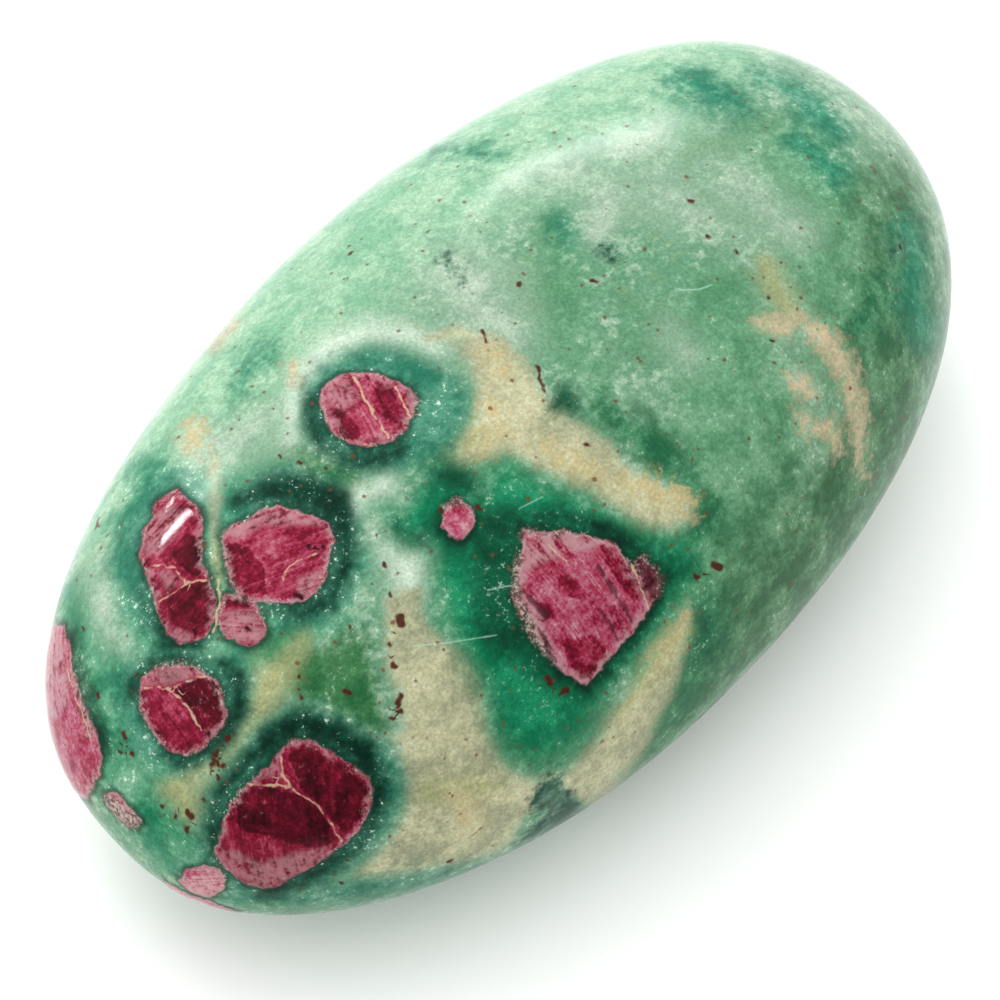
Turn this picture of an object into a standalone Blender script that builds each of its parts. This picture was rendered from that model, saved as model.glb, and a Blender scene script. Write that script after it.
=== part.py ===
# A polished pebble of ruby in fuchsite, lying on the worn flat of its underside.
# One natural piece, so one solid. Metres, +Z up, the long axis along X.
import math

import bmesh
import bpy
from mathutils import Vector

# Driving dimensions of the tumbled form, in metres
half_length = 0.0330
half_width = 0.01833
crown_height = 0.0140  # from the widest level up to the crown
keel_depth = 0.0105  # from the widest level down to the underside, before the flat
base_flat_depth = 0.0005  # how much of the underside is worn away to the flat

# How far the form departs from an ellipsoid, whose exponents are both 2
plan_exponent = 2.22
profile_exponent = 2.25
side_bow = 0.00041  # both ends lean this far towards +Y

# Swells and worn places: where each faces, how wide it is, how far it stands out
swells = {
    "worn crown": {"toward": (0.15, -0.10, 1.0), "spread": 0.50, "height": -0.00025},
    "crown ridge": {"toward": (0.10, 0.55, 0.84), "spread": 0.34, "height": 0.00015},
    "upper flank": {"toward": (-0.37, 0.87, 0.34), "spread": 0.30, "height": -0.00013},
    "back shoulder": {"toward": (0.06, 0.89, 0.45), "spread": 0.30, "height": 0.00018},
    "worn shoulder": {"toward": (0.49, 0.73, 0.47), "spread": 0.30, "height": -0.00026},
    "narrow end": {"toward": (0.83, 0.45, 0.34), "spread": 0.30, "height": 0.00021},
    "narrow end flat": {"toward": (0.93, -0.26, 0.27), "spread": 0.30, "height": -0.00022},
    "narrow end corner": {"toward": (0.80, -0.60, 0.01), "spread": 0.30, "height": 0.00008},
    "near cheek": {"toward": (-0.24, -0.91, -0.33), "spread": 0.30, "height": 0.00008},
    "near hollow": {"toward": (-0.60, -0.75, -0.28), "spread": 0.30, "height": -0.00012},
    "blunt end corner": {"toward": (-0.95, -0.23, -0.19), "spread": 0.30, "height": 0.00028},
    "blunt end flat": {"toward": (-0.97, 0.19, -0.18), "spread": 0.30, "height": -0.00033},
    "blunt end back": {"toward": (-0.82, 0.57, 0.08), "spread": 0.30, "height": 0.00014},
    "under hollow": {"toward": (0.55, 0.50, -0.67), "spread": 0.40, "height": -0.00040},
    "under swell": {"toward": (-0.55, 0.45, -0.70), "spread": 0.40, "height": 0.00030},
}

sphere_subdivisions = 5
cut_tolerance = 1e-7
shortest_edge = 1e-5
sharp_angle = math.radians(30)
stone_green = (0.17, 0.42, 0.30, 1.0)
stone_roughness = 0.28
stone_name = "polished_stone"


def clear_scene():
    for obj in list(bpy.data.objects):
        bpy.data.objects.remove(obj, do_unlink=True)


def tumbled_point(direction):
    """Where the pebble's surface lies for a point of the unit sphere."""
    across = abs(direction.x) ** plan_exponent + abs(direction.y) ** plan_exponent
    plan = across ** (profile_exponent / plan_exponent)
    profile = abs(direction.z) ** profile_exponent
    scale = (plan + profile) ** (-1.0 / profile_exponent)
    height = crown_height if direction.z > 0 else keel_depth
    along = direction.x * scale
    return Vector((
        half_length * along,
        half_width * direction.y * scale + side_bow * along * along,
        height * direction.z * scale,
    ))


def swell_at(direction):
    """The height that the broad swells add in this direction."""
    total = 0.0
    for swell in swells.values():
        distance = (direction - Vector(swell["toward"]).normalized()).length
        total += swell["height"] * math.exp(-((distance / swell["spread"]) ** 2))
    return total


def shape_pebble(bm):
    for vert in bm.verts:
        direction = vert.co.normalized()
        vert.co = tumbled_point(direction) + direction * swell_at(direction)


def wear_base_flat(bm):
    """Cuts the underside at one level and closes it with a flat face, which the stone rests on."""
    lowest = min(vert.co.z for vert in bm.verts)
    level = lowest + base_flat_depth
    whole = bm.verts[:] + bm.edges[:] + bm.faces[:]
    bmesh.ops.bisect_plane(
        bm, geom=whole, dist=cut_tolerance, plane_co=(0, 0, level), plane_no=(0, 0, 1), clear_inner=True
    )
    rim = [edge for edge in bm.edges if edge.is_boundary]
    bmesh.ops.edgeloop_fill(bm, edges=rim)
    bmesh.ops.dissolve_degenerate(bm, dist=shortest_edge, edges=bm.edges[:])
    return level


def centre_on_base(bm, level):
    """Puts the origin under the middle of the pebble, on the flat."""
    middle_x = (min(v.co.x for v in bm.verts) + max(v.co.x for v in bm.verts)) / 2
    middle_y = (min(v.co.y for v in bm.verts) + max(v.co.y for v in bm.verts)) / 2
    bmesh.ops.translate(bm, verts=bm.verts[:], vec=(-middle_x, -middle_y, -level))


def stone_material():
    material = bpy.data.materials.new("polished_fuchsite")
    material.use_nodes = True
    shader = material.node_tree.nodes["Principled BSDF"]
    shader.inputs["Base Color"].default_value = stone_green
    shader.inputs["Roughness"].default_value = stone_roughness
    shader.inputs["Metallic"].default_value = 0.0
    return material


def build_stone():
    bm = bmesh.new()
    bmesh.ops.create_icosphere(bm, subdivisions=sphere_subdivisions, radius=1.0)
    shape_pebble(bm)
    centre_on_base(bm, wear_base_flat(bm))
    bmesh.ops.recalc_face_normals(bm, faces=bm.faces[:])
    mesh = bpy.data.meshes.new(stone_name)
    bm.to_mesh(mesh)
    bm.free()
    mesh.shade_smooth()
    mesh.set_sharp_from_angle(angle=sharp_angle)
    mesh.materials.append(stone_material())
    stone = bpy.data.objects.new(stone_name, mesh)
    bpy.context.scene.collection.objects.link(stone)
    return stone


clear_scene()
build_stone()
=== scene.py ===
# A tumbled ruby in fuchsite: sugary green rock, cream bands, and rubies in dark green rims.
# Lengths are in millimetres and become metres where an object is made. Places on the stone
# are named by the pixels of the photograph, 1000 by 1000, that the camera sees them at.
import math
import random

import bmesh
import bpy
import numpy as np
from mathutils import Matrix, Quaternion, Vector, noise
from mathutils.bvhtree import BVHTree


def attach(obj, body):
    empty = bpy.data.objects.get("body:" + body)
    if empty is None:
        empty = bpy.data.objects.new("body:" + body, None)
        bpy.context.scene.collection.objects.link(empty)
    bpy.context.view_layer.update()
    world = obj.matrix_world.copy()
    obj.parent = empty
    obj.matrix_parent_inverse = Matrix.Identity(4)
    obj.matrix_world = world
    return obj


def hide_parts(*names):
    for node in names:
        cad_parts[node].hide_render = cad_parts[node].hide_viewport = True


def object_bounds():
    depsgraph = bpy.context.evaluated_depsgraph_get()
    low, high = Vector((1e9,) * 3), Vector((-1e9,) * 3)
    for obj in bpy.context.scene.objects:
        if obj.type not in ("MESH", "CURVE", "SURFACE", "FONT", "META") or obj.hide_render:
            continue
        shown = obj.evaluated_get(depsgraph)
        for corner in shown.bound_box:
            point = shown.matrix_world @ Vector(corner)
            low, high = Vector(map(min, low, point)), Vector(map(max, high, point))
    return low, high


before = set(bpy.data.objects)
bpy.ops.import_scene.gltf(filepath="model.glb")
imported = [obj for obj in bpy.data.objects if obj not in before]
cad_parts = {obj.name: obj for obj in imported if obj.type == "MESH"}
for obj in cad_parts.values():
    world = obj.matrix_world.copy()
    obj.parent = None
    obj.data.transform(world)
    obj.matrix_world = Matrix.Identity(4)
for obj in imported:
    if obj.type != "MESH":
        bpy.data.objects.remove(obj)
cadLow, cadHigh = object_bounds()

mm = 0.001
farAway = 50.0  # stands for a field that doesn't reach a place, in mm


def addObject(name, data):
    thing = bpy.data.objects.new(name, data)
    bpy.context.scene.collection.objects.link(thing)
    return thing


# The camera, which also says where on the stone a pixel lies

view = {
    "elevation": 58.0,  # degrees above the floor
    "turn": 49.55,  # degrees from +Y to the line of sight, seen from above
    "distance": 450.0,
    "lens": 278.2,
    "sensor": 36.0,
    "aim": (-1.30, -0.31, 9.26),
    "pixels": 1000,
    "clip": (0.01, 50.0),  # metres
}


def viewAxes():
    turn, rise = math.radians(view["turn"]), math.radians(view["elevation"])
    level = Vector((math.sin(turn), math.cos(turn), 0))
    right = Vector((math.cos(turn), -math.sin(turn), 0))
    forward = level * math.cos(rise) - Vector((0, 0, math.sin(rise)))
    up = level * math.sin(rise) + Vector((0, 0, math.cos(rise)))
    return right, up, forward


right, up, forward = viewAxes()
cameraSpot = Vector(view["aim"]) - forward * view["distance"]
focal = view["lens"] / view["sensor"] * view["pixels"]
middle = view["pixels"] / 2
pixelsPerMm = focal / view["distance"]


def pixelRay(pixel):
    across, down = pixel[0] - middle, pixel[1] - middle
    return (forward + right * (across / focal) - up * (down / focal)).normalized()


def toPixels(spots):
    # where the camera sees an array of places
    offset = spots - np.array(cameraSpot)
    depth = offset @ np.array(forward)
    across = middle + focal * (offset @ np.array(right)) / depth
    down = middle - focal * (offset @ np.array(up)) / depth
    return np.stack([across, down], 1)


def addCamera():
    data = bpy.data.cameras.new("photoCamera")
    data.lens = view["lens"]
    data.sensor_width = view["sensor"]
    data.clip_start, data.clip_end = view["clip"]
    camera = addObject("photoCamera", data)
    camera.location = cameraSpot * mm
    camera.rotation_euler = forward.to_track_quat("-Z", "Y").to_euler()
    bpy.context.scene.camera = camera


addCamera()
print("camera in place")


# The stone's form: the solid of the frame, made fine and smooth

form = {
    "weld": 1e-6,  # metres, for the loose triangles of the frame
    "flatCell": 1.7,  # the worn flat is cut into cells of this size
    "cuts": 5,  # every edge of the solid becomes six
    "smoothing": 14,  # passes that round the facets away
    "smoothShare": 0.5,  # how far a pass moves each vertex towards its neighbours' middle
    "rippleSize": 6.0,
    "ripple": 0.035,  # the polish wanders this much, over rock and rubies alike
    "rubyLift": 0.07,  # the hard rubies stand this proud of the rock
    "rubyShoulder": 0.30,
}


def flatFaces(bm, level):
    return [face for face in bm.faces if all(vert.co.z < level for vert in face.verts)]


def cellTheFlat(bm):
    # the worn flat is one face, cut crosswise into cells as fine as the facets around it
    level = cadLow.z + form["weld"]
    bmesh.ops.dissolve_faces(bm, faces=flatFaces(bm, level))
    cell = form["flatCell"] * mm
    for axis in (0, 1):
        way = Vector((axis == 0, axis == 1, 0))
        reach = max(abs(vert.co[axis]) for face in flatFaces(bm, level) for vert in face.verts)
        steps = math.ceil(reach / cell)
        for step in range(-steps, steps + 1):
            faces = flatFaces(bm, level)
            parts = set(faces)
            for face in faces:
                parts.update(face.edges[:] + face.verts[:])
            bmesh.ops.bisect_plane(
                bm, geom=list(parts), dist=form["weld"], plane_co=way * (step * cell), plane_no=way
            )


def fineStone():
    bm = bmesh.new()
    bm.from_mesh(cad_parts["polished_stone"].data)
    bmesh.ops.remove_doubles(bm, verts=bm.verts[:], dist=form["weld"])
    cellTheFlat(bm)
    bmesh.ops.triangulate(bm, faces=bm.faces[:])
    bmesh.ops.subdivide_edges(bm, edges=bm.edges[:], cuts=form["cuts"], use_grid_fill=True)
    for turn in range(form["smoothing"]):
        bmesh.ops.smooth_vert(
            bm, verts=bm.verts[:], factor=form["smoothShare"], use_axis_x=True, use_axis_y=True,
            use_axis_z=True,
        )
    bm.normal_update()
    return bm


bm = fineStone()
stoneMesh = bpy.data.meshes.new("ruby_in_fuchsite")
bm.to_mesh(stoneMesh)
bm.free()
stoneMesh.shade_smooth()
print("stone made fine:", len(stoneMesh.polygons), "triangles")


# Places on the stone, and where the camera sees them

def readMesh(name, owner, width):
    values = np.zeros(len(owner) * width)
    owner.foreach_get(name, values)
    return values.reshape(-1, width)


spots = readMesh("co", stoneMesh.vertices, 3) / mm
normals = readMesh("vector", stoneMesh.vertex_normals, 3)
corners = readMesh("vertices", stoneMesh.polygons, 3).astype(int)
stoneTree = BVHTree.FromPolygons(spots.tolist(), corners.tolist())
seenAt = toPixels(spots)
towardsCamera = np.array(cameraSpot) - spots
facing = (normals * towardsCamera).sum(1) / np.linalg.norm(towardsCamera, axis=1)


def surfaceHit(pixel, side="near"):
    # the place and normal that a pixel shows, or those straight behind them on the far side
    ray = pixelRay(pixel)
    if side == "near":
        return stoneTree.ray_cast(cameraSpot, ray)[:2]
    return stoneTree.ray_cast(cameraSpot + ray * 2 * view["distance"], -ray)[:2]


def outlineDistance(points, outline):
    # signed distance of flat points to a closed outline, below zero inside
    outline = np.array(outline, float)
    nearest = np.full(len(points), np.inf)
    inside = np.zeros(len(points), bool)
    for start, end in zip(outline, np.roll(outline, -1, 0)):
        edge, offset = end - start, points - start
        along = np.clip(offset @ edge / (edge @ edge), 0, 1)
        nearest = np.minimum(nearest, ((offset - along[:, None] * edge) ** 2).sum(1))
        if edge[1]:
            crossing = (start[1] > points[:, 1]) != (end[1] > points[:, 1])
            inside ^= crossing & (offset[:, 0] < edge[0] * offset[:, 1] / edge[1])
    return np.where(inside, -1, 1) * np.sqrt(nearest)


def pathDistance(points, path):
    # distance of flat points to a line whose half width changes along it
    path = np.array(path, float)
    nearest = np.full(len(points), np.inf)
    for start, end in zip(path[:-1], path[1:]):
        edge, offset = (end - start)[:2], points - start[:2]
        along = np.clip(offset @ edge / (edge @ edge), 0, 1)
        gap = np.linalg.norm(offset - along[:, None] * edge, axis=1)
        nearest = np.minimum(nearest, gap - start[2] - along * (end[2] - start[2]))
    return nearest


def smoothStep(value, start, end):
    share = np.clip((value - start) / (end - start), 0, 1)
    return share * share * (3 - 2 * share)


# The rubies. An outline is a list of pixels, and grain is two pixels along the striations.
# Tone runs from wine at 0 to pale pink at 1, and rim is the width of the pale broken edge.
# Dark and pale are the outlines of darker and paler facets.

rubies = {
    "striped oval": {
        "outline": [(319, 396), (325, 384), (340, 375), (358, 372), (379, 374), (397, 383), (411, 389),
                    (419, 399), (414, 414), (405, 432), (390, 442), (368, 446), (348, 443), (332, 433),
                    (322, 415)],
        "grain": ((354, 378), (389, 438)), "tone": 0.54, "rim": 0.55,
        "dark": [[(330, 411), (347, 414), (364, 440), (342, 437)],
                 [(370, 376), (392, 386), (404, 428), (386, 418)], [(403, 388), (417, 398), (411, 412)]],
        "pale": [[(324, 390), (343, 379), (352, 384), (359, 399), (343, 411), (328, 405)]],
    },
    "great oval": {
        "outline": [(221, 534), (233, 525), (248, 518), (262, 507), (280, 505), (298, 511), (318, 519),
                    (330, 524), (334, 538), (332, 553), (326, 577), (319, 593), (306, 600), (288, 604),
                    (255, 604), (243, 597), (233, 585), (225, 568)],
        "grain": ((240, 560), (320, 530)), "tone": 0.56,
        "dark": [[(222, 542), (246, 546), (264, 566), (268, 596), (240, 590), (227, 570)],
                 [(288, 592), (306, 590), (301, 602)]],
        "pale": [[(222, 532), (262, 508), (300, 513), (330, 526), (300, 524), (262, 526), (236, 540)],
                 [(296, 580), (324, 566), (318, 592), (300, 598)]],
    },
    "window ruby": {
        "outline": [(143, 530), (153, 518), (154, 505), (164, 496), (176, 489), (187, 498), (198, 509),
                    (203, 521), (202, 541), (203, 561), (209, 577), (216, 599), (214, 620), (208, 636),
                    (196, 641), (180, 643), (168, 634), (161, 619), (154, 603), (150, 588), (145, 570),
                    (140, 556)],
        "grain": ((160, 552), (198, 512)), "tone": 0.44, "rim": 0.40,
        "dark": [[(173, 549), (188, 533), (202, 542), (204, 570), (196, 577), (184, 568), (174, 562)],
                 [(166, 600), (188, 584), (208, 583), (215, 600), (208, 626), (190, 634), (172, 622)]],
        # the first pale facet, on top under the highlight, is partly painted sheen
        "pale": [[(145, 534), (157, 512), (175, 505), (184, 520), (160, 556), (147, 556)],
                 [(157, 570), (172, 570), (181, 583), (166, 592)],
                 [(168, 628), (186, 632), (196, 638), (178, 641)]],
    },
    "small neighbour": {
        "outline": [(223, 596), (237, 593), (250, 598), (258, 606), (264, 618), (267, 629), (261, 640),
                    (249, 645), (234, 640), (222, 635), (218, 621), (221, 608)],
        "grain": ((224, 622), (262, 624)), "tone": 0.52,
        "dark": [[(224, 594), (240, 594), (254, 602), (250, 607), (224, 605)]],
        "pale": [[(221, 612), (256, 610), (266, 630), (256, 642), (236, 640), (220, 632)]],
    },
    "parted ruby": {
        "outline": [(138, 691), (141, 678), (150, 670), (163, 665), (178, 663), (193, 665), (206, 672),
                    (218, 681), (224, 697), (228, 715), (222, 728), (212, 740), (200, 751), (187, 756),
                    (172, 752), (158, 742), (147, 727), (140, 709)],
        "grain": ((158, 700), (190, 745)), "tone": 0.43,
        "dark": [[(171, 688), (206, 676), (220, 690), (227, 713), (214, 731), (201, 730), (186, 706)]],
        "pale": [[(144, 686), (150, 673), (175, 665), (203, 671), (190, 680), (170, 686)]],
    },
    "great ruby": {
        "outline": [(282, 748), (291, 741), (305, 739), (318, 743), (330, 752), (343, 762), (359, 770),
                    (369, 779), (374, 790), (371, 804), (366, 819), (357, 833), (345, 844), (330, 855),
                    (313, 866), (295, 876), (278, 885), (262, 888), (247, 884), (234, 875), (221, 864),
                    (213, 855), (218, 838), (224, 820), (230, 802), (241, 788), (256, 776), (270, 766)],
        "grain": ((318, 760), (326, 850)), "tone": 0.42, "rim": 0.30,
        "dark": [[(234, 792), (268, 786), (300, 795), (318, 808), (338, 838), (320, 848), (268, 834),
                  (240, 830)],
                 [(288, 756), (308, 745), (345, 768), (370, 790), (364, 812), (345, 835), (322, 806),
                  (300, 788)]],
        "pale": [[(215, 852), (236, 850), (262, 862), (300, 852), (330, 846), (300, 873), (264, 886),
                  (236, 874)],
                 [(256, 776), (279, 760), (280, 778)]],
    },
    "edge ruby": {
        "outline": [(50, 638), (55, 621), (64, 626), (69, 645), (73, 666), (79, 690), (88, 713), (96, 735),
                    (101, 756), (100, 774), (92, 790), (74, 800), (52, 792), (36, 750), (28, 700), (34, 655)],
        "grain": ((60, 640), (88, 750)), "tone": 0.64, "rim": 0.30,
        # its pale upper part, at the stone's lit edge, is partly painted glare
        "pale": [[(30, 660), (55, 624), (64, 632), (68, 668), (70, 700), (58, 720), (30, 715)]],
    },
    "edge chip": {
        "outline": [(103, 795), (113, 791), (125, 801), (134, 812), (141, 821), (132, 829), (119, 820),
                    (107, 806)],
        "grain": ((105, 796), (136, 824)), "tone": 0.95, "rim": 0.30,
    },
    "lower chip": {
        "outline": [(178, 881), (188, 871), (203, 865), (218, 868), (227, 876), (223, 890), (210, 898),
                    (192, 892)],
        "grain": ((180, 880), (226, 880)), "tone": 0.86, "rim": 0.30,
    },
    "lower edge ruby": {
        "outline": [(163, 885), (186, 893), (212, 902), (239, 911), (236, 930), (200, 924), (170, 905)],
        "grain": ((170, 888), (230, 908)), "tone": 0.90, "rim": 0.30,
    },
    "bead": {
        "outline": [(443, 516), (449, 504), (460, 499), (470, 505), (476, 516), (471, 530), (462, 538),
                    (451, 535), (443, 526)],
        "grain": ((446, 506), (470, 532)), "tone": 0.74,
    },
    "fan": {
        "outline": [(523, 540), (521, 524), (532, 532), (548, 531), (566, 530), (586, 534), (604, 540),
                    (620, 549), (629, 563), (640, 578), (652, 606), (640, 622), (626, 640), (612, 655),
                    (598, 672), (585, 685), (574, 679), (558, 668), (543, 651), (530, 630), (518, 611),
                    (511, 597), (516, 580), (516, 560)],
        "grain": ((590, 545), (645, 625)), "tone": 0.65, "rim": 0.55,
        "pale": [[(508, 590), (530, 596), (560, 660), (552, 668), (525, 626)],
                 [(520, 524), (600, 540), (590, 552), (540, 560), (516, 580)]],
        "dark": [[(562, 640), (596, 636), (606, 656), (586, 680), (568, 666)],
                 [(600, 546), (618, 550), (640, 582), (648, 602), (632, 600), (612, 574)],
                 [(556, 575), (574, 574), (590, 600), (566, 598)],
                 [(530, 600), (548, 604), (556, 622), (540, 616)]],
    },
    "dark splinter": {
        "outline": [(630, 561), (642, 556), (656, 567), (661, 582), (656, 600), (650, 602), (640, 582)],
        "grain": ((640, 560), (656, 598)), "tone": 0.12, "rim": 0.45,
    },
}
usualRim = 0.35
rubySpacing = 10.0  # mm that keep one ruby's noise apart from the next one's
sideReach = 6.0  # a ruby's field ends this far off its plane

# On the side that the photograph doesn't show, each ruby is a rough ring of corners:
# the pixel in front of it, its radius, stretch and turn, how many corners, and its tone
hiddenRubies = [
    ((330, 650), 3.3, 1.35, 20, 9, 0.50), ((520, 560), 3.0, 1.10, 75, 7, 0.58),
    ((430, 690), 1.6, 1.20, 140, 7, 0.72), ((270, 400), 2.6, 1.50, 55, 8, 0.44),
    ((430, 300), 1.9, 1.10, 10, 6, 0.60), ((150, 640), 2.4, 1.25, 100, 8, 0.40),
    ((640, 250), 1.2, 1.10, 0, 7, 0.70), ((760, 330), 2.1, 1.45, 35, 8, 0.48),
]
hiddenSeed = 11
hiddenRaggedness = 0.16  # share of the radius that a corner may be off


def placeOn(pixel, centre, normal):
    # where a pixel lies, or past the stone's edge where its ray meets the plane
    place = surfaceHit(pixel)[0]
    if place is None:
        ray = pixelRay(pixel)
        place = cameraSpot + ray * ((centre - cameraSpot).dot(normal) / ray.dot(normal))
    return place


def nearRuby(ruby):
    # a ruby's plane, from where its pixels lie
    hits = [surfaceHit(pixel) for pixel in ruby["outline"]]
    found = [hit for hit in hits if hit[0] is not None]
    centre = sum((place for place, normal in found), Vector()) / len(found)
    normal = sum((normal for place, normal in found), Vector()).normalized()
    ends = [placeOn(pixel, centre, normal) for pixel in ruby["grain"]]
    along = ends[1] - ends[0]
    along = (along - normal * along.dot(normal)).normalized()
    return centre, along, normal.cross(along), normal


def onPlane(plane, pixels):
    # pixels as flat points along and across a ruby's grain
    centre, along, across, normal = plane
    offsets = [placeOn(pixel, centre, normal) - centre for pixel in pixels]
    return [(offset.dot(along), offset.dot(across)) for offset in offsets]


def farRuby(row, chance):
    pixel, size, stretch, turn, count, tone = row
    centre, normal = surfaceHit(pixel, "far")
    turn = math.radians(turn)
    along = (right * math.cos(turn) + up * math.sin(turn)).cross(normal).normalized()
    outline = []
    for corner in range(count):
        angle = math.tau * corner / count
        radius = size * (1 + hiddenRaggedness * chance.uniform(-1, 1))
        outline.append((radius * stretch * math.cos(angle), radius * math.sin(angle)))
    return {"tone": tone}, (centre, along, normal.cross(along), normal), outline


def rubyFields():
    # for every vertex: the distance to the nearest ruby, and that ruby's own grain and tone
    count = len(spots)
    fields = {name: np.full(count, farAway) for name in ("ruby", "darkFacet", "paleFacet", "rubyRim")}
    fields["rubyTone"] = np.zeros(count)
    fields["rubyPlace"] = np.zeros((count, 3))
    chance = random.Random(hiddenSeed)
    allRubies = [(ruby, nearRuby(ruby), None) for ruby in rubies.values()]
    allRubies += [farRuby(row, chance) for row in hiddenRubies]
    for number, (ruby, plane, outline) in enumerate(allRubies):
        offset = spots - np.array(plane[0])
        local = np.stack([offset @ np.array(axis) for axis in plane[1:]], 1)
        beside = (np.abs(local[:, 2]) > sideReach) | (normals @ np.array(plane[3]) < 0)
        laid = outline or onPlane(plane, ruby["outline"])
        distance = np.where(beside, farAway, outlineDistance(local[:, :2], laid))
        nearer = distance < fields["ruby"]
        fields["ruby"] = np.where(nearer, distance, fields["ruby"])
        fields["rubyTone"] = np.where(nearer, ruby["tone"], fields["rubyTone"])
        fields["rubyRim"] = np.where(nearer, ruby.get("rim", usualRim), fields["rubyRim"])
        spaced = local + number * rubySpacing
        fields["rubyPlace"] = np.where(nearer[:, None], spaced, fields["rubyPlace"])
        for part, name in (("dark", "darkFacet"), ("pale", "paleFacet")):
            for facet in ruby.get(part, []):
                edge = outlineDistance(local[:, :2], onPlane(plane, facet))
                fields[name] = np.minimum(fields[name], np.where(beside, farAway, edge))
    return fields


# The zones of the rock, and of the painted light and shade on its flanks: outlines, of pixels, and paths, of
# pixels with the half width there

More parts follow.
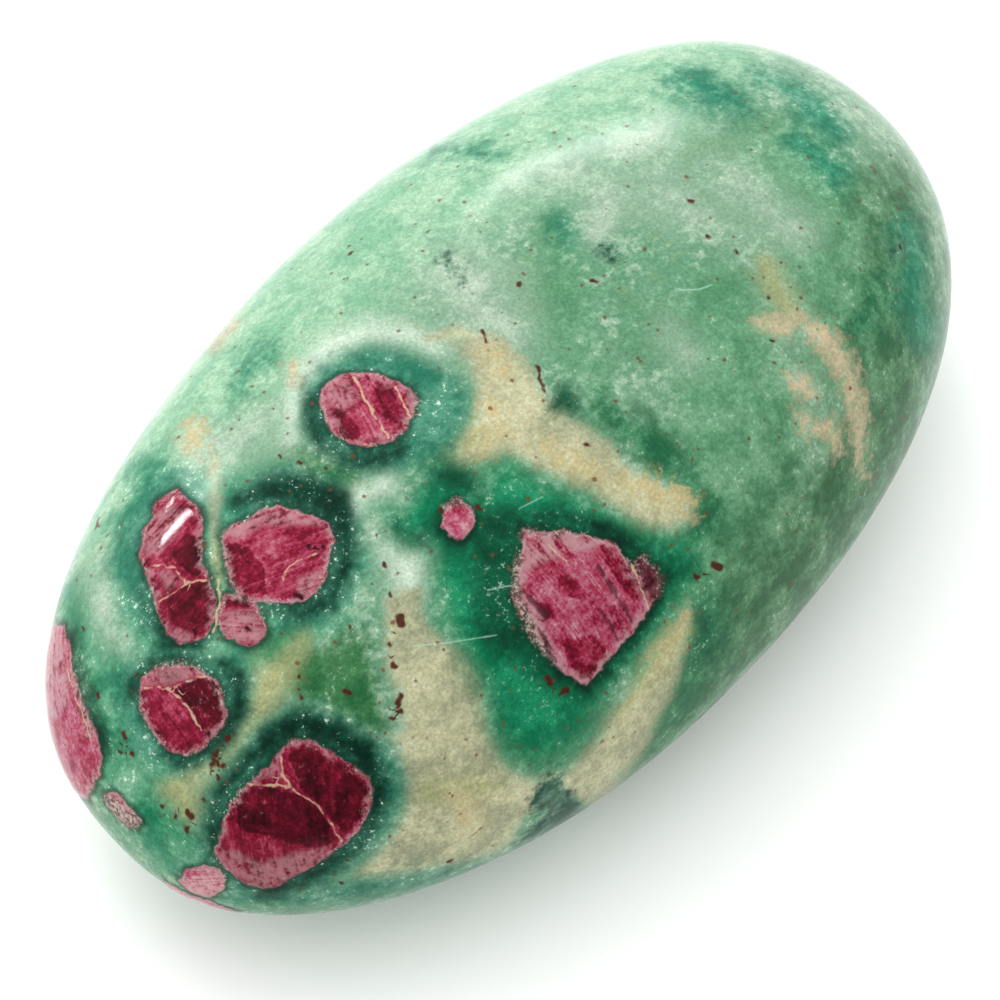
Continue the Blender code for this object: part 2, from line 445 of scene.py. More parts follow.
zones = {
    # the rock's paler green along the upper-left flank, partly painted light where that flank faces the light
    "mint": [
        [(95, 520, 40), (200, 370, 75), (330, 240, 85), (480, 150, 75), (640, 80, 60), (740, 55, 25)],
    ],
    "fern": [
        [(650, 330, 30), (720, 330, 60), (740, 440, 80), (720, 560, 60), (660, 680, 40)],
        [(790, 160, 45), (850, 250, 60), (860, 360, 50)],
        [(552, 236, 8), (562, 280, 14), (576, 330, 18), (600, 400, 22)],
    ],
    # painted shade: darker green along the lower-right flank, which faces away from the light
    "shade": [
        [(600, 820, 20), (700, 680, 45), (800, 570, 50), (880, 440, 50), (920, 320, 40), (890, 200, 30)],
    ],
    "moss": [
        [(118, 470), (165, 452), (210, 466), (262, 470), (300, 470), (350, 500), (372, 560), (362, 620),
         (330, 640), (296, 640), (262, 690), (240, 720), (205, 760), (165, 775), (170, 820), (215, 850),
         (216, 885), (170, 880), (130, 840), (104, 790), (100, 740), (84, 670), (76, 615), (104, 590),
         (112, 540)],
        [(68, 585, 8), (62, 620, 6)],
    ],
    "teal": [
        [(236, 388, 5), (248, 370, 7), (268, 354, 4)], [(438, 150, 3), (468, 150, 6), (505, 156, 5)],
        [(668, 80, 8), (695, 84, 17), (716, 96, 16), (742, 104, 10)],
        [(760, 78, 8), (800, 94, 14), (818, 110, 20), (836, 130, 14)], [(800, 140, 12), (834, 172, 14)],
        [(905, 228, 10), (916, 262, 14), (912, 300, 14), (926, 335, 12)], [(560, 222, 6), (572, 236, 8)],
    ],
    "leaf": [
        [(300, 655), (330, 641), (352, 625), (368, 630), (374, 662), (382, 702), (390, 728), (368, 735),
         (343, 720), (315, 702), (296, 690), (290, 670)],
        [(296, 446, 6), (322, 466, 13), (352, 480, 12), (382, 490, 5)],
    ],
    "pine": [
        [(600, 405, 8), (640, 440, 22), (672, 470, 16), (702, 505, 18), (700, 545, 10)],
        [(708, 580, 12), (706, 640, 24), (682, 700, 16), (656, 745, 10)],
        [(838, 330, 7), (866, 322, 14), (880, 290, 14)],
    ],
    "frost": [
        [(292, 436, 4), (294, 405, 8), (308, 372, 10), (332, 345, 12), (362, 332, 7), (410, 335, 5),
         (436, 346, 4)],
        [(342, 515, 6), (358, 498, 10), (384, 484, 8)],
        [(390, 552, 5), (406, 568, 11), (412, 590, 12), (404, 606, 8)],
    ],
    # whitish grey streaks in the rock, and one painted sheen below
    "dust": [
        [(104, 560, 6), (104, 610, 18), (120, 645, 12)], [(200, 445, 16), (240, 440, 14), (262, 420, 8)],
        [(452, 262, 20), (490, 300, 26), (512, 335, 16)],
        [(598, 232, 10), (608, 200, 16), (650, 190, 16), (700, 215, 8)],
        # this path lies under the highlight band and paints it paler: a painted sheen
        [(510, 186, 8), (560, 168, 14), (620, 150, 14), (660, 132, 8)],
        [(740, 190, 18), (800, 230, 16)], [(668, 330, 8), (688, 356, 10)],
    ],
    "crust": [
        [(522, 532, 1), (518, 560, 4), (515, 588, 5), (524, 616, 5), (538, 640, 4), (552, 662, 2)],
        [(524, 528, 1), (548, 535, 2), (575, 533, 1)], [(646, 557, 1), (660, 574, 2), (661, 592, 1)],
        [(446, 506, 1), (460, 500, 2), (474, 510, 1)], [(410, 392, 1), (420, 402, 2), (416, 418, 1)],
        [(150, 669, 0), (178, 662, 2), (206, 667, 0)], [(228, 574, 0), (238, 596, 1), (258, 604, 1)],
        [(108, 800, 5), (120, 812, 6), (134, 823, 5)], [(72, 672, 1), (82, 704, 2), (90, 734, 1)],
    ],
    "cream": [
        [(462, 340), (490, 334), (512, 348), (528, 366), (545, 388), (560, 408), (585, 430), (610, 444),
         (626, 462), (652, 478), (680, 488), (692, 503), (692, 520), (672, 533), (642, 526), (612, 508),
         (588, 492), (560, 480), (530, 466), (508, 452), (488, 456), (468, 466), (450, 462), (462, 440),
         (474, 415), (478, 392), (472, 365)],
        [(388, 600), (404, 590), (424, 588), (420, 596), (420, 606), (428, 626), (452, 645), (470, 665),
         (482, 690), (488, 716), (492, 748), (508, 770), (536, 780), (568, 772), (590, 750), (602, 732),
         (625, 700), (655, 662), (674, 625), (688, 597), (690, 622), (685, 650), (676, 680), (664, 706),
         (650, 736), (628, 773), (606, 796), (586, 806), (570, 792), (545, 798), (526, 816), (512, 845),
         (482, 862), (450, 872), (410, 878), (372, 880), (354, 872), (376, 852), (396, 828), (408, 800),
         (406, 774), (398, 752), (390, 736), (402, 728), (398, 700), (388, 670), (385, 640)],
        [(432, 338, 4), (460, 332, 8), (486, 340, 8)], [(200, 425, 6), (186, 445, 8), (196, 462, 5)],
        [(212, 345, 5), (232, 325, 9)], [(214, 462, 7), (213, 490, 3), (212, 528, 3), (216, 560, 5)],
    ],
    "straw": [
        [(298, 640, 8), (276, 668, 16), (262, 700, 13), (240, 728, 9), (205, 765, 8), (176, 788, 12),
         (190, 812, 9)],
        [(452, 447, 5), (470, 440, 8), (482, 424, 6)], [(765, 262, 4), (775, 285, 6), (792, 312, 5)],
        [(622, 486, 4), (640, 484, 5), (655, 500, 6), (684, 498, 4)],
        [(620, 716, 3), (638, 690, 7), (662, 655, 10), (684, 632, 6)],
        [(213, 546, 4), (216, 562, 6), (218, 578, 3)], [(428, 792, 5), (480, 786, 7), (490, 792, 4)],
    ],
    "honey": [
        [(490, 350, 3), (505, 372, 5)], [(484, 400, 4), (500, 428, 6), (488, 446, 4)],
        [(545, 448, 4), (572, 464, 7), (602, 474, 5)], [(632, 484, 4), (660, 490, 8), (684, 502, 5)],
        [(650, 655, 4), (668, 638, 5), (684, 614, 3)], [(460, 800, 4), (470, 826, 5)],
        [(192, 428, 3), (200, 440, 3)],
    ],
    "blush": [
        [(762, 322, 5), (782, 326, 9), (800, 320, 5)],
        [(806, 326, 5), (824, 336, 11), (838, 358, 10), (850, 384, 8), (857, 410, 7), (860, 440, 5),
         (862, 474, 2)],
        [(790, 376, 4), (800, 384, 9), (812, 394, 4)],
        [(804, 416, 4), (808, 432, 5), (832, 424, 5), (834, 446, 4)], [(293, 366, 3), (294, 380, 3)],
    ],
    "emerald": [
        [(434, 556), (430, 584), (432, 610), (450, 636), (468, 660), (482, 690), (490, 728), (508, 752),
         (535, 766), (560, 757), (584, 738), (600, 712), (616, 688), (640, 660), (665, 625), (688, 592),
         (698, 565), (696, 540), (672, 537), (642, 530), (612, 512), (585, 495), (555, 484), (528, 470),
         (505, 462), (490, 470), (480, 486), (470, 470), (445, 462), (424, 470), (412, 490), (398, 506),
         (372, 504), (384, 526), (404, 546), (424, 542)],
        [(60, 590, 5), (72, 612, 6), (82, 650, 5), (92, 690, 6), (106, 740, 6), (110, 775, 5)],
        [(140, 806, 8), (160, 822, 13), (182, 838, 8)], [(276, 615, 6), (284, 632, 7), (268, 655, 5)],
        [(150, 478, 6), (166, 482, 6), (132, 512, 5), (126, 560, 10), (132, 600, 10), (150, 634, 7)],
        [(118, 668, 5), (124, 700, 8), (134, 732, 7), (160, 764, 8)],
    ],
    "bottle": [
        [(480, 500), (520, 508), (552, 517), (590, 527), (626, 539), (652, 550), (674, 558), (680, 574),
         (666, 600), (646, 636), (618, 674), (592, 694), (560, 696), (532, 680), (500, 652), (476, 628),
         (470, 560)],
        [(434, 476, 8), (458, 478, 9), (480, 496, 8), (482, 525, 6), (460, 544, 7), (436, 532, 7),
         (412, 544, 5), (396, 524, 6)],
        [(556, 406, 9), (566, 396, 11), (571, 408, 8)], [(701, 610, 3), (706, 638, 9), (697, 664, 5)],
    ],
    "deepGreen": [
        [(538, 514, 3), (572, 518, 7), (606, 528, 6), (630, 544, 4)],
        [(236, 500, 5), (270, 489, 13), (305, 489, 17), (338, 504, 16), (348, 540, 11), (342, 575, 9),
         (330, 604, 7), (296, 612, 6), (270, 611, 4)],
        [(310, 400, 4), (310, 425, 6), (322, 446, 7), (345, 458, 8), (375, 460, 8), (402, 450, 5)],
        [(222, 662, 5), (238, 680, 8), (238, 708, 8), (228, 732, 7), (210, 752, 6), (188, 764, 5),
         (160, 754, 4)],
        [(130, 700, 3), (132, 678, 4), (148, 662, 4), (178, 657, 4), (206, 663, 4)],
        [(212, 842, 6), (214, 812, 7), (226, 786, 7), (250, 760, 8), (270, 740, 10), (300, 722, 13),
         (335, 732, 14), (364, 752, 13), (380, 780, 9), (378, 812, 7), (360, 846, 6), (335, 864, 5),
         (300, 882, 4), (262, 895, 4)],
        [(140, 596, 4), (152, 622, 5), (164, 644, 4), (200, 648, 3)],
        [(72, 634, 3), (82, 676, 4), (96, 716, 4), (107, 752, 4)],
    ],
    "rim": [
        [(302, 430), (299, 408), (305, 386), (320, 367), (345, 351), (375, 345), (405, 351), (432, 362),
         (458, 378), (470, 396), (467, 420), (454, 446), (430, 460), (400, 470), (370, 473), (344, 466),
         (320, 452)],
        [(222, 520), (240, 494), (262, 476), (296, 470), (328, 478), (350, 496), (360, 530), (358, 570),
         (348, 604), (318, 622), (284, 626), (258, 612), (240, 600), (222, 560)],
        [(112, 560), (122, 524), (140, 500), (150, 480), (168, 466), (190, 466), (204, 488), (208, 530),
         (214, 580), (218, 640), (200, 656), (170, 652), (146, 640), (122, 606)],
        [(114, 706), (116, 680), (128, 660), (152, 650), (185, 648), (218, 654), (242, 668), (252, 692),
         (248, 718), (232, 742), (210, 764), (180, 776), (152, 768), (130, 746)],
        [(198, 846), (202, 812), (214, 784), (236, 758), (256, 730), (285, 709), (318, 705), (352, 722),
         (392, 746), (405, 778), (402, 806), (386, 840), (358, 868), (325, 888), (285, 898), (240, 895),
         (212, 876)],
        [(230, 898, 6), (300, 900, 8), (380, 886, 9), (440, 874, 8), (480, 866, 4)],
    ],
    "slate": [
        [(556, 782, 10), (550, 800, 18), (570, 812, 14), (540, 834, 8), (518, 848, 5)],
        [(448, 266, 6), (456, 272, 8), (462, 280, 5)], [(606, 250, 5), (614, 254, 6)],
        [(900, 240, 2), (902, 250, 4)],
    ],
}

# The same on the side that the photograph doesn't show, straight behind these pixels
farZones = {
    # the paler green goes on round the upper-left flank, partly painted light as in front
    "mint": [[(120, 560, 40), (330, 260, 60), (600, 110, 40)]],
    "fern": [[(560, 420, 60), (720, 440, 60)]],
    # painted shade, going on round the lower-right flank
    "shade": [[(640, 700, 60), (760, 520, 90), (840, 350, 70)]],
    "teal": [[(380, 420, 6), (520, 340, 12), (600, 330, 5)], [(700, 470, 10), (780, 440, 16)]],
    "leaf": [[(560, 420, 20), (480, 470, 24)]],
    "pine": [[(660, 400, 16), (740, 380, 22)]],
    "frost": [[(300, 520, 20), (380, 560, 16)]],
    "cream": [[(210, 560, 14), (330, 500, 26), (450, 470, 20), (600, 480, 26), (690, 430, 10)],
              [(470, 640, 24), (580, 660, 30), (640, 600, 14)]],
    "straw": [[(380, 500, 5), (440, 478, 8)]],
    "blush": [[(560, 480, 5), (640, 470, 8)]],
    "emerald": [[(500, 620, 20), (600, 560, 28), (560, 500, 12)]],
    "rim": [[(320, 655, 70), (345, 645, 70)], [(515, 550, 66), (525, 570, 66)],
            [(262, 410, 56), (280, 390, 56)], [(425, 300, 46), (435, 300, 46)],
            [(150, 630, 52), (150, 650, 52)], [(752, 338, 50), (768, 322, 50)]],
    "slate": [[(600, 300, 6), (612, 312, 8)]],
}

# Lines in the stone: the half width in millimetres, then the pixels along it, two numbers each
lines = {
    "veins": [
        (0.07, 354, 378, 370, 408, 389, 438), (0.05, 397, 388, 409, 416),
        (0.03, 321, 552, 303, 559, 288, 567, 284, 580), (0.03, 153, 565, 175, 568, 187, 583, 208, 580),
        (0.03, 187, 583, 175, 593, 160, 602), (0.06, 218, 580, 220, 602, 213, 632),
        (0.03, 144, 687, 170, 688, 206, 675), (0.04, 170, 690, 187, 706, 202, 731),
        (0.03, 243, 783, 288, 787, 318, 805, 342, 840), (0.05, 281, 757, 282, 777, 291, 787),
        (0.03, 549, 545, 566, 562), (0.03, 628, 558, 648, 608),
        (0.04, 68, 668, 75, 694, 86, 722, 92, 742),
    ],
    "grooves": [
        (0.10, 598, 566, 618, 598, 632, 622), (0.09, 600, 610, 618, 640), (0.18, 530, 598, 546, 616),
        (0.10, 538, 630, 556, 662), (0.03, 331, 410, 344, 413, 366, 398),
    ],
    "scratches": [
        (0.03, 413, 646, 446, 643, 497, 635), (0.04, 678, 290, 700, 289, 713, 284),
        (0.03, 488, 590, 512, 585), (0.03, 520, 508, 544, 496),
    ],
    "specks": [
        (0.10, 97, 520, 98, 528), (0.14, 384, 564, 385, 565), (0.10, 377, 535, 378, 536),
        (0.12, 350, 626, 352, 629), (0.10, 300, 676, 300, 678), (0.10, 300, 697, 301, 699),
        (0.12, 119, 751, 120, 752), (0.10, 136, 674, 137, 675), (0.12, 217, 776, 218, 779),
        (0.10, 202, 801, 204, 799), (0.12, 187, 828, 186, 831), (0.10, 174, 817, 175, 816),
        (0.10, 161, 806, 162, 807), (0.12, 340, 883, 341, 884), (0.10, 347, 860, 348, 861),
        (0.10, 298, 462, 301, 463), (0.08, 279, 456, 280, 457), (0.08, 325, 468, 326, 469),
        (0.10, 391, 594, 392, 595), (0.10, 391, 719, 392, 720), (0.10, 82, 628, 83, 629),
        (0.10, 76, 579, 77, 580), (0.12, 900, 245, 901, 248), (0.12, 478, 506, 480, 508),
        (0.08, 441, 510, 442, 512), (0.08, 735, 93, 737, 93), (0.09, 736, 252, 737, 254),
        (0.09, 768, 297, 769, 298), (0.13, 309, 546, 310, 549), (0.11, 323, 545, 324, 546),
        (0.16, 297, 595, 301, 597), (0.09, 247, 629, 249, 630), (0.09, 195, 631, 196, 633),
        (0.12, 537, 366, 543, 390), (0.09, 482, 330, 487, 342), (0.07, 470, 838, 482, 828),
        (0.22, 400, 617, 401, 624), (0.17, 393, 664, 396, 667), (0.16, 400, 696, 398, 702),
        (0.12, 389, 645, 390, 646), (0.12, 401, 711, 402, 712), (0.16, 344, 691, 348, 692),
        (0.20, 188, 812, 192, 816), (0.13, 229, 738, 228, 740), (0.15, 217, 752, 216, 754),
        (0.16, 212, 764, 210, 767), (0.12, 223, 765, 222, 766), (0.18, 123, 734, 124, 736),
        (0.17, 130, 753, 131, 754), (0.14, 98, 518, 95, 528), (0.16, 97, 694, 98, 697),
        (0.15, 350, 254, 352, 252), (0.16, 519, 284, 520, 284), (0.13, 593, 281, 598, 283),
        (0.13, 688, 200, 692, 200), (0.13, 708, 236, 710, 237), (0.17, 548, 678, 550, 682),
        (0.17, 562, 692, 567, 690), (0.22, 714, 565, 720, 567), (0.15, 696, 576, 698, 578),
        (0.12, 586, 444, 587, 445), (0.18, 450, 862, 451, 862), (0.17, 208, 733, 209, 735),
        (0.11, 771, 339, 774, 341),
    ],
}

wrapReach = 10.0  # mm that a right angle past the stone's edge adds to a field


def zoneField(nearShapes, farShapes):
    field = np.full(len(spots), farAway)
    for side, shapes in ((1, nearShapes), (-1, farShapes)):
        hidden = np.arcsin(np.clip(-side * facing, 0, 1)) * wrapReach
        for shape in shapes:
            measure = pathDistance if len(shape[0]) == 3 else outlineDistance
            field = np.minimum(field, measure(seenAt, shape) / pixelsPerMm + hidden)
    return field


def storeField(name, values):
    kind, slot = ("FLOAT", "value") if values.ndim == 1 else ("FLOAT_VECTOR", "vector")
    layer = stoneMesh.attributes.new(name, kind, "POINT")
    layer.data.foreach_set(slot, values.astype(np.float32).ravel())


def lineFields(name, rows):
    # how far each vertex lies past its nearest line's end, beside it and off it, and its half width
    nearest = np.full(len(spots), farAway)
    place, half = np.full((len(spots), 3), farAway), np.zeros(len(spots))
    for width, *numbers in rows:
        hits = [surfaceHit(pixel) for pixel in zip(numbers[::2], numbers[1::2])]
        for (start, normal), (end, endNormal) in zip(hits[:-1], hits[1:]):
            run = end - start
            along, across = np.array(run.normalized()), np.array(normal.cross(run).normalized())
            offset = spots - np.array(start)
            forth = offset @ along
            past = forth - np.clip(forth, 0, run.length)
            beside = offset @ across
            off = np.linalg.norm(offset - (forth - past)[:, None] * along, axis=1) - width
            nearer = off < nearest
            nearest = np.where(nearer, off, nearest)
            half = np.where(nearer, width, half)
            place = np.where(nearer[:, None], np.stack([past, beside, off], 1), place)
    return {name: place, name + "Half": half}


fields = rubyFields()
fields.update({name: zoneField(shapes, farZones.get(name, [])) for name, shapes in zones.items()})
for name, rows in lines.items():
    fields.update(lineFields(name, rows))
for name, values in fields.items():
    storeField(name, values)
print("rubies, zones and lines laid out:", len(fields), "fields")


# The relief: hard rubies stand a little proud of the rock, and the polish wanders everywhere

def reliefAt(place):
    return noise.noise(Vector(place) / form["rippleSize"]) * form["ripple"]


ripple = np.array([reliefAt(spot) for spot in spots])
shoulder = form["rubyShoulder"]
lift = form["rubyLift"] * smoothStep(-fields["ruby"], -shoulder, shoulder)
raised = spots + normals * (ripple + lift - form["ripple"])[:, None]
onFlat = spots[:, 2] < form["ripple"]
raised[onFlat, 2] = spots[onFlat, 2]
raised = np.clip(raised, np.array(cadLow) / mm, np.array(cadHigh) / mm)
stoneMesh.vertices.foreach_set("co", (raised * mm).astype(np.float32).ravel())
stoneMesh.update()
stone = addObject("ruby_in_fuchsite", stoneMesh)
print("relief raised")


# The stone's finish

class Flow:
    # a value or colour on its way through the nodes; sums on it add Math nodes
    def __init__(self, finish, socket):
        self.finish, self.socket = finish, socket

    def math(self, operation, other):
        return self.finish.add("ShaderNodeMath", {"operation": operation}, {0: self, 1: other})

    def __add__(self, other):
        return self.math("ADD", other)

    def __sub__(self, other):
        return self.math("SUBTRACT", other)

    def __mul__(self, other):
        return self.math("MULTIPLY", other)

    __radd__ = __add__

    def vector(self, operation, *others, output=0, **inputs):
        fed = {**dict(enumerate((self, *others))), **inputs}
        return self.finish.add("ShaderNodeVectorMath", {"operation": operation}, fed, output)


class Finish:
    # the nodes of a material or a world, and the shader that they feed
    def __init__(self, owner, shader="Principled BSDF"):
        owner.use_nodes = True
        self.owner, self.tree = owner, owner.node_tree
        self.shader = self.tree.nodes[shader]

    def add(self, kind, settings=None, inputs=None, output=0):
        node = self.tree.nodes.new(kind)
        for name, value in (settings or {}).items():
            setattr(node, name, value)
        self.feed(node, inputs or {})
        return Flow(self, node.outputs[output])

    def feed(self, node, inputs):
        for name, value in inputs.items():
            socket = node.inputs[name]
            if isinstance(value, Flow):
                self.tree.links.new(value.socket, socket)
            elif socket.type == "RGBA" and len(value) == 3:
                socket.default_value = (*value, 1)
            else:
                socket.default_value = value

    def field(self, name, output="Fac"):
        return self.add("ShaderNodeAttribute", {"attribute_name": name}, output=output)

    def noise(self, place, scale, detail, roughness=0.5, output=0):
        inputs = {"Vector": place, "Scale": scale, "Detail": detail, "Roughness": roughness}
        return self.add("ShaderNodeTexNoise", None, inputs, output)

    def cells(self, place, scale):
        # distance to the nearest of the scattered points, and a random number of its cell
        inputs = {"Vector": place, "Scale": scale}
        distance = self.add("ShaderNodeTexVoronoi", None, inputs, "Distance")
        colour = Flow(self, distance.socket.node.outputs["Color"])
        return distance, self.add("ShaderNodeSeparateXYZ", None, {0: colour}, "X")

    def step(self, value, start, end):
        # 0 up to start and 1 from end on, or the other way round where end is the lower
        inputs = {"Value": value, "From Min": start, "From Max": end}
        return self.add("ShaderNodeMapRange", {"interpolation_type": "SMOOTHSTEP"}, inputs)

    def mix(self, share, under, over):
        return self.add("ShaderNodeMix", {"data_type": "RGBA"}, {0: share, 6: under, 7: over}, 2)

    def ramp(self, value, stops):
        flow = self.add("ShaderNodeValToRGB", None, {0: value})
        elements = flow.socket.node.color_ramp.elements
        while len(elements) < len(stops):
            elements.new(0.5)
        for element, (position, colour) in zip(elements, stops):
            element.position, element.color = position, (*colour, 1)
        return flow

    def lineGap(self, name, wander):
        # distance to the nearest of a set of lines, which wander bends, less its half width
        place = self.field(name, "Vector")
        gap = place.vector("MULTIPLY", (1, 1, 0)).vector("ADD", wander).vector("LENGTH", output=1)
        # two lines far apart may disagree on which side is which, so only what lies near counts
        off = self.add("ShaderNodeSeparateXYZ", None, {0: place}, "Z")
        return (gap - self.field(name + "Half")).math("MAXIMUM", off - lineReach)


# Noise on the stone and in the rubies: scale per mm, detail and roughness
noises = {
    "broad": (0.09, 2.0), "mottle": (0.40, 3.0), "grain": (1.7, 3.0, 0.65), "sugar": (5.0, 2.0, 0.7),
    "sparkle": (3.6, 2.0, 0.8), "streak": (1.0, 2.0, 0.6), "hairline": (1.0, 1.0),
    "patch": (0.75, 3.0, 0.6), "wander": (1.6, 1.0, 0.6),
}

# Colours of the rock, with painted light and shade on its flanks, and how each zone ends: after its light and
# dark colour come the width of its edge in millimetres, and how far coarse and fine noise push that edge
# about
ground = {
    "grey": (0.19, 0.32, 0.22), "green": (0.11, 0.26, 0.155), "olive": (0.13, 0.225, 0.11),
    "light": (0.30, 0.40, 0.30),
}
dyes = {
    # the paler green of the upper-left flank, partly painted light
    "mint": ((0.27, 0.43, 0.29), (0.17, 0.355, 0.225), 2.4, 5.0, 1.0),
    "fern": ((0.145, 0.305, 0.18), (0.082, 0.225, 0.12), 2.2, 4.0, 1.6),
    # painted shade on the lower-right flank
    "shade": ((0.085, 0.20, 0.10), (0.038, 0.118, 0.055), 3.0, 5.0, 1.0),
    "moss": ((0.16, 0.34, 0.22), (0.05, 0.225, 0.13), 1.2, 2.6, 1.2),
    "teal": ((0.022, 0.22, 0.13), (0.010, 0.15, 0.086), 1.2, 2.4, 1.8),
    "leaf": ((0.055, 0.175, 0.070), (0.020, 0.115, 0.042), 0.8, 2.2, 1.0),
    "pine": ((0.042, 0.19, 0.092), (0.017, 0.115, 0.053), 1.2, 3.0, 1.2),
    "frost": ((0.62, 0.69, 0.58), (0.42, 0.52, 0.42), 1.1, 2.6, 3.0),
    # whitish grey streaks in the rock, and a painted sheen under the highlight band
    "dust": ((0.36, 0.44, 0.35), (0.21, 0.33, 0.235), 1.6, 3.0, 3.0),
    "cream": ((0.425, 0.42, 0.27), (0.29, 0.305, 0.20), 0.5, 1.8, 1.2),
    "straw": ((0.43, 0.40, 0.20), (0.29, 0.31, 0.16), 1.1, 2.4, 1.8),
    "honey": ((0.50, 0.41, 0.22), (0.43, 0.39, 0.22), 0.9, 1.4, 4.6),
    "blush": ((0.60, 0.46, 0.31), (0.38, 0.35, 0.23), 0.7, 1.8, 3.0),
    "emerald": ((0.012, 0.22, 0.105), (0.001, 0.145, 0.065), 1.4, 1.6, 0.6),
    "rim": ((0.075, 0.24, 0.16), (0.02, 0.15, 0.095), 0.9, 1.0, 0.6),
    "bottle": ((0.002, 0.095, 0.045), (0.0, 0.055, 0.026), 0.9, 1.0, 0.4),
    "deepGreen": ((0.001, 0.050, 0.028), (0.0, 0.020, 0.011), 0.7, 0.7, 0.4),
    "slate": ((0.11, 0.22, 0.155), (0.018, 0.070, 0.045), 0.5, 1.6, 2.4),
}
rockFinish = {
    "speckScale": 1.35, "speckColour": (0.14, 0.050, 0.020),
    "glintColour": (0.58, 0.68, 0.58),
    "gritShades": (0.80, 1.17),  # the colour times these, in the hollows and on the grains
    "roughness": 0.15, "sugarRoughness": 0.12,
    "specular": 0.12,
    "bump": 0.008, "bumpStrength": 0.35,
}
rubyFinish = {
    "tones": [(0.0, (0.030, 0.001, 0.004)), (0.25, (0.090, 0.003, 0.012)), (0.45, (0.19, 0.007, 0.031)),
              (0.62, (0.30, 0.042, 0.083)), (0.80, (0.36, 0.125, 0.17)), (1.0, (0.48, 0.28, 0.29))],
    "streak": (0.35, 2.8, 2.8),  # noise scales along, across and through the striations, per mm
    "hairline": (0.22, 7.0, 7.0),
    "soft": 0.10, "fray": 0.5, "grain": 0.7,
    "frosted": (0.38, 0.225, 0.24),
    "brokenEdge": (0.44, 0.33, 0.30),
    "halo": 0.6,  # mm of dark green that every ruby has at least
    "darkFacet": 0.22,  # how far a dark facet lowers the tone
    "roughness": 0.04,
}
crust = {"light": (0.40, 0.38, 0.31), "dark": (0.065, 0.050, 0.040), "soft": 0.25, "fray": 0.5, "grain": 1.2}
veinColour, grooveColour = (0.52, 0.38, 0.26), (0.05, 0.014, 0.020)
scratchColour, rustColour = (0.45, 0.66, 0.56), (0.070, 0.012, 0.006)
lineWander = (0.38, 0.38, 0)  # mm, past a line's end and beside it
lineReach = 0.4  # mm, as far off as a line is looked for

# Where on its noise or field each effect starts, and where it is full
steps = {
    "cloud": (0.34, 0.66), "green": (0.40, 0.62), "olive": (-0.04, -0.18), "light": (0.50, 0.68),
    "grit": (0.25, 0.80), "glint": (0.64, 0.80), "amongRubies": (0.8, -0.8), "speckSize": (0.20, 0.07),
    "speckShare": (0.66, 0.74), "darkFacet": (0.09, -0.09), "hairline": (0.58, 0.74),
    "paleFacet": (0.25, -0.25), "frosted": (0.40, 0.80), "brokenEdge": (-0.26, -0.02),
    "brokenPatch": (0.46, 0.66), "fibres": (0.42, 0.64), "vein": (0.07, -0.03), "groove": (0.10, -0.06),
    "scratch": (0.05, -0.03), "rust": (0.09, -0.08),
}
# How strongly each effect covers what lies under it
covers = {
    "olive": 0.45, "light": 0.7, "halo": 0.75, "glint": 0.38, "glintAmongRubies": 0.40, "speck": 0.75,
    "frosted": 1.15, "brokenEdge": 0.60, "rubyGlint": 0.22, "crust": 0.85, "groove": 0.7, "vein": 0.75,
    "scratch": 0.35, "rust": 0.95,
}


def rockColour(f, place, mottle, sugar, sparkle, coarse, fine):
    # the ground, from grey green to green, with olive and lighter clouds
    broad = f.noise(place, *noises["broad"])
    cloud = f.step(mottle + fine * 0.45, *steps["cloud"])
    colour = f.mix(f.step(broad + coarse * 0.5, *steps["green"]), ground["grey"], ground["green"])
    olive = f.step(coarse * 1.2 - fine * 0.6, *steps["olive"]) * covers["olive"]
    colour = f.mix(olive, colour, ground["olive"])
    light = f.step(mottle + fine * 0.8, *steps["light"]) * covers["light"]
    colour = f.mix(light, colour, ground["light"])
    # the zones, with painted light on the upper-left flank, painted shade on the lower-right one and a
    # painted sheen under the highlight band
    for name, (light, dark, soft, fray, grain) in dyes.items():
        share = f.step(f.field(name) + coarse * fray + fine * grain, soft, -soft)
        colour = f.mix(share, colour, f.mix(cloud, dark, light))

    # every ruby's dark rim
    halo = f.step(f.field("ruby") + coarse * 0.8 + fine * 0.3, rubyFinish["halo"], 0.0)
    colour = f.mix(halo * covers["halo"], colour, dyes["deepGreen"][1])

    # sugar grain, white glints and small brown specks
    grit = f.step(sugar + fine * 0.5, *steps["grit"])
    hollow, top = (colour.vector("SCALE", Scale=shade) for shade in rockFinish["gritShades"])
    colour = f.mix(grit, hollow, top)
    glint = f.step(sparkle + coarse * 0.5 + fine * 0.4, *steps["glint"])
    amongRubies = f.field("rim").math("MINIMUM", f.field("moss")) + coarse * 3.0
    amongRubies = f.step(amongRubies, *steps["amongRubies"])
    shown = glint * (amongRubies * covers["glintAmongRubies"] + covers["glint"])
    colour = f.mix(shown, colour, rockFinish["glintColour"])
    near, draw = f.cells(place, rockFinish["speckScale"])
    speck = f.step(near + fine * 0.6, *steps["speckSize"]) * f.step(draw, *steps["speckShare"])
    return f.mix(speck * covers["speck"], colour, rockFinish["speckColour"]), glint


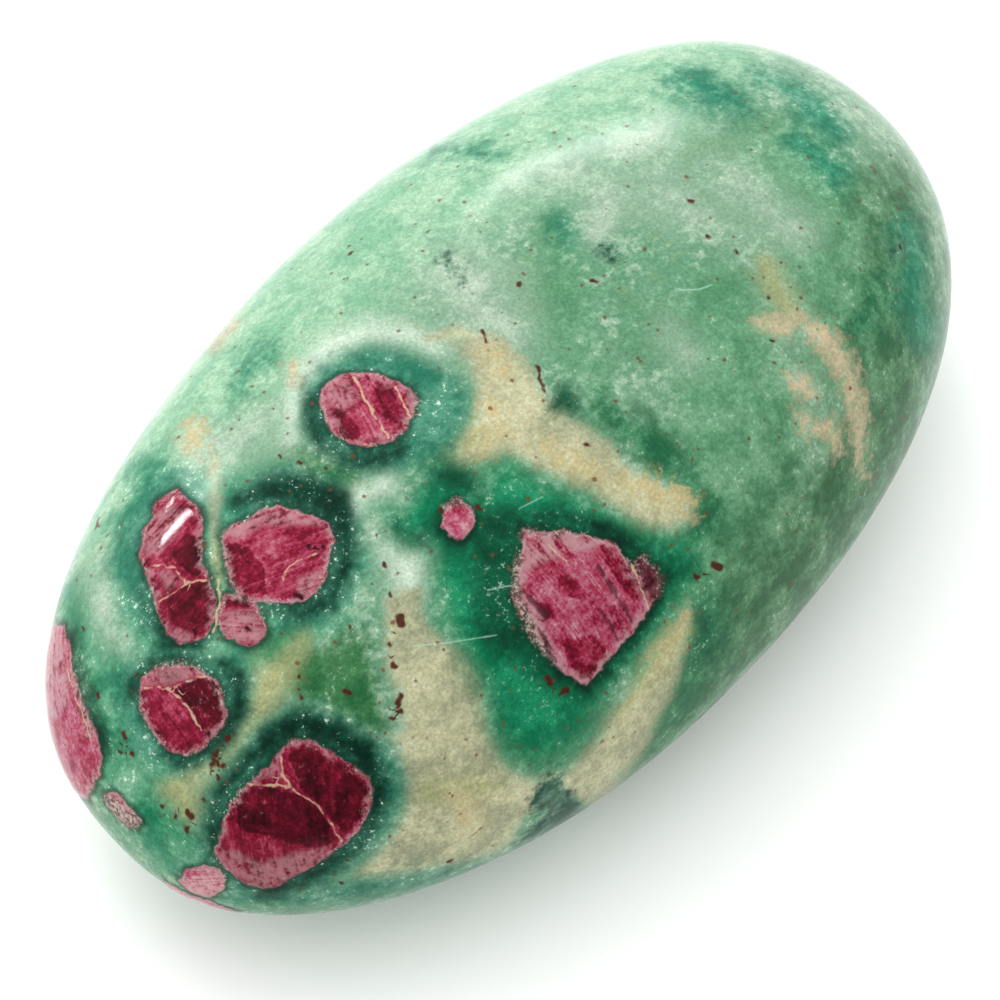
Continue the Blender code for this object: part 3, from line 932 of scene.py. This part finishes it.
def rubyColour(f, sugar, sparkle, coarse, fine, glint):
    # striated along their grain, darker and paler in their facets
    place, ruby, ownTone = f.field("rubyPlace", "Vector"), f.field("ruby"), f.field("rubyTone")
    streak = f.noise(place.vector("MULTIPLY", rubyFinish["streak"]), *noises["streak"])
    hairline = f.noise(place.vector("MULTIPLY", rubyFinish["hairline"]), *noises["hairline"])
    patch = f.noise(place, *noises["patch"])
    tone = ownTone + (streak - 0.5) * 0.40 + (patch - 0.5) * 0.80 + fine * 0.25
    facet = f.step(f.field("darkFacet") + coarse * 0.4 + fine * 0.3, *steps["darkFacet"])
    tone = tone - facet * rubyFinish["darkFacet"]
    texture = f.step(hairline, *steps["hairline"]) * 0.14 + (sugar - 0.5) * 0.62 + fine * 0.30
    tone = tone + texture * (ownTone + 0.45)
    gem = f.ramp(tone, rubyFinish["tones"])

    # frosted in the pale facets and near the edge, which is broken
    pale = f.step(f.field("paleFacet") + coarse * 0.6 + fine * 0.6, *steps["paleFacet"])
    shallow = f.step(ruby + fine * 1.4 + coarse * 0.8, f.field("rubyRim") * -1.4, 0)
    frosted = pale.math("MAXIMUM", shallow) * f.step(streak + fine * 0.8 + sugar * 0.4, *steps["frosted"])
    gem = f.mix(frosted * (ownTone + 0.05) * covers["frosted"], gem, rubyFinish["frosted"])
    broken = f.step(ruby + (sugar - 0.5) * 1.2, *steps["brokenEdge"])
    broken = broken * f.step(sparkle + coarse, *steps["brokenPatch"])
    broken = broken * covers["brokenEdge"] + glint * covers["rubyGlint"]
    edge = ruby + coarse * rubyFinish["fray"] + fine * rubyFinish["grain"]
    inRuby = f.step(edge, rubyFinish["soft"], -rubyFinish["soft"])
    return f.mix(broken, gem, rubyFinish["brokenEdge"]), inRuby


def lineColour(f, place, fine, inRuby, colour):
    # veins, grooves, scratches and rust specks, a little crooked
    wander = f.noise(place, *noises["wander"], output="Color").vector("SUBTRACT", (0.5, 0.5, 0.5))
    wander = wander.vector("MULTIPLY", lineWander)
    rust = f.mix(inRuby, rustColour, rubyFinish["tones"][0][1])
    for name, field, bend, fray, dye in (
        ("groove", "grooves", wander, 0.3, grooveColour), ("vein", "veins", wander, 0.25, veinColour),
        ("scratch", "scratches", (0, 0, 0), 0.12, scratchColour), ("rust", "specks", wander, 0.20, rust),
    ):
        share = f.step(f.lineGap(field, bend) + fine * fray, *steps[name])
        colour = f.mix(share * covers[name], colour, dye)
    return colour


def stoneFinish():
    f = Finish(bpy.data.materials.new("polished_ruby_in_fuchsite"))
    place = f.add("ShaderNodeTexCoord", output="Object").vector("SCALE", Scale=1 / mm)
    mottle, grain, sugar, sparkle = (
        f.noise(place, *noises[name]) for name in ("mottle", "grain", "sugar", "sparkle")
    )
    coarse, fine = mottle - 0.5, grain - 0.5
    colour, glint = rockColour(f, place, mottle, sugar, sparkle, coarse, fine)
    gem, inRuby = rubyColour(f, sugar, sparkle, coarse, fine, glint)
    colour = f.mix(inRuby, colour, gem)

    # a pale fibrous crust along some of the rubies' edges
    edge = f.field("crust") + coarse * crust["fray"] + fine * crust["grain"]
    fibres = f.mix(f.step(sparkle + fine * 0.5, *steps["fibres"]), crust["dark"], crust["light"])
    colour = f.mix(f.step(edge, crust["soft"], -crust["soft"]) * covers["crust"], colour, fibres)
    colour = lineColour(f, place, fine, inRuby, colour)

    rough = rockFinish["roughness"] + sugar * rockFinish["sugarRoughness"]
    bump = {"Strength": rockFinish["bumpStrength"], "Distance": rockFinish["bump"] * mm, "Height": sugar}
    f.feed(f.shader, {
        "Base Color": colour,
        "Roughness": rough - inRuby * (rough - rubyFinish["roughness"]),
        "Normal": f.add("ShaderNodeBump", None, bump),
        "Specular IOR Level": rockFinish["specular"],
    })
    return f.owner


stoneMesh.materials.append(stoneFinish())
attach(stone, "root")
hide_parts("polished_stone")
print("stone finished:", len(stoneMesh.materials[0].node_tree.nodes), "nodes")


# The floor and the light

studio = {
    "floorSide": 3.0,  # metres
    "floor": {"Base Color": (0.96, 0.965, 0.96), "Roughness": 0.9, "Specular IOR Level": 0.2},
    "sky": 1.23,  # strength, all round
    "skyLean": 0.42,  # share by which it is brighter behind the stone and dimmer in front
    "skyTurn": -24,
    "contrast": "Medium High Contrast",
    "key": {"turn": -30, "rise": 45, "away": 0.70, "size": (0.40, 0.30), "power": 0.9},
    "windows": {  # seen in the polish only
        "long": {"turn": -3, "rise": 26, "away": 0.60, "size": (0.22, 0.055), "power": 0.95},
        "slanting": {"turn": -52.0, "rise": 31.0, "away": 0.60, "size": (0.115, 0.026), "roll": -38,
                     "power": 0.68},
        "small": {"turn": -48.2, "rise": 21.2, "away": 0.60, "size": (0.050, 0.016), "power": 0.14},
    },
}


def addFloor():
    bm = bmesh.new()
    bmesh.ops.create_grid(bm, x_segments=1, y_segments=1, size=studio["floorSide"] / 2)
    floorMesh = bpy.data.meshes.new("floor")
    bm.to_mesh(floorMesh)
    bm.free()
    f = Finish(bpy.data.materials.new("pale_paper"))
    f.feed(f.shader, studio["floor"])
    floorMesh.materials.append(f.owner)
    addObject("floor", floorMesh)


def skyWay(turn, rise):
    # turn is measured from the line of sight, to the right, and rise from the floor
    turn, rise = math.radians(view["turn"] + turn), math.radians(rise)
    return Vector((math.sin(turn) * math.cos(rise), math.cos(turn) * math.cos(rise), math.sin(rise)))


def addLight(name, light):
    way = skyWay(light["turn"], light["rise"])
    data = bpy.data.lights.new(name, "AREA")
    data.shape = "RECTANGLE"
    data.size, data.size_y = light["size"]
    data.energy = light["power"]
    lamp = addObject(name, data)
    lamp.location = way * light["away"]
    roll = Quaternion((0, 0, 1), math.radians(light.get("roll", 0)))
    lamp.rotation_euler = ((-way).to_track_quat("-Z", "Y") @ roll).to_euler()
    return lamp


def addSky():
    f = Finish(bpy.data.worlds.new("studio"), "Background")
    lean = f.add("ShaderNodeTexCoord").vector("DOT_PRODUCT", skyWay(studio["skyTurn"], 0), output=1)
    f.feed(f.shader, {"Color": (1, 1, 1), "Strength": (lean * studio["skyLean"] + 1) * studio["sky"]})
    bpy.context.scene.world = f.owner


addFloor()
addSky()
addLight("key", studio["key"]).visible_glossy = False
for name, light in studio["windows"].items():
    addLight(name + " window", light).visible_diffuse = False
bpy.context.scene.view_settings.view_transform = "Standard"
bpy.context.scene.view_settings.look = studio["contrast"]
print("studio lit")
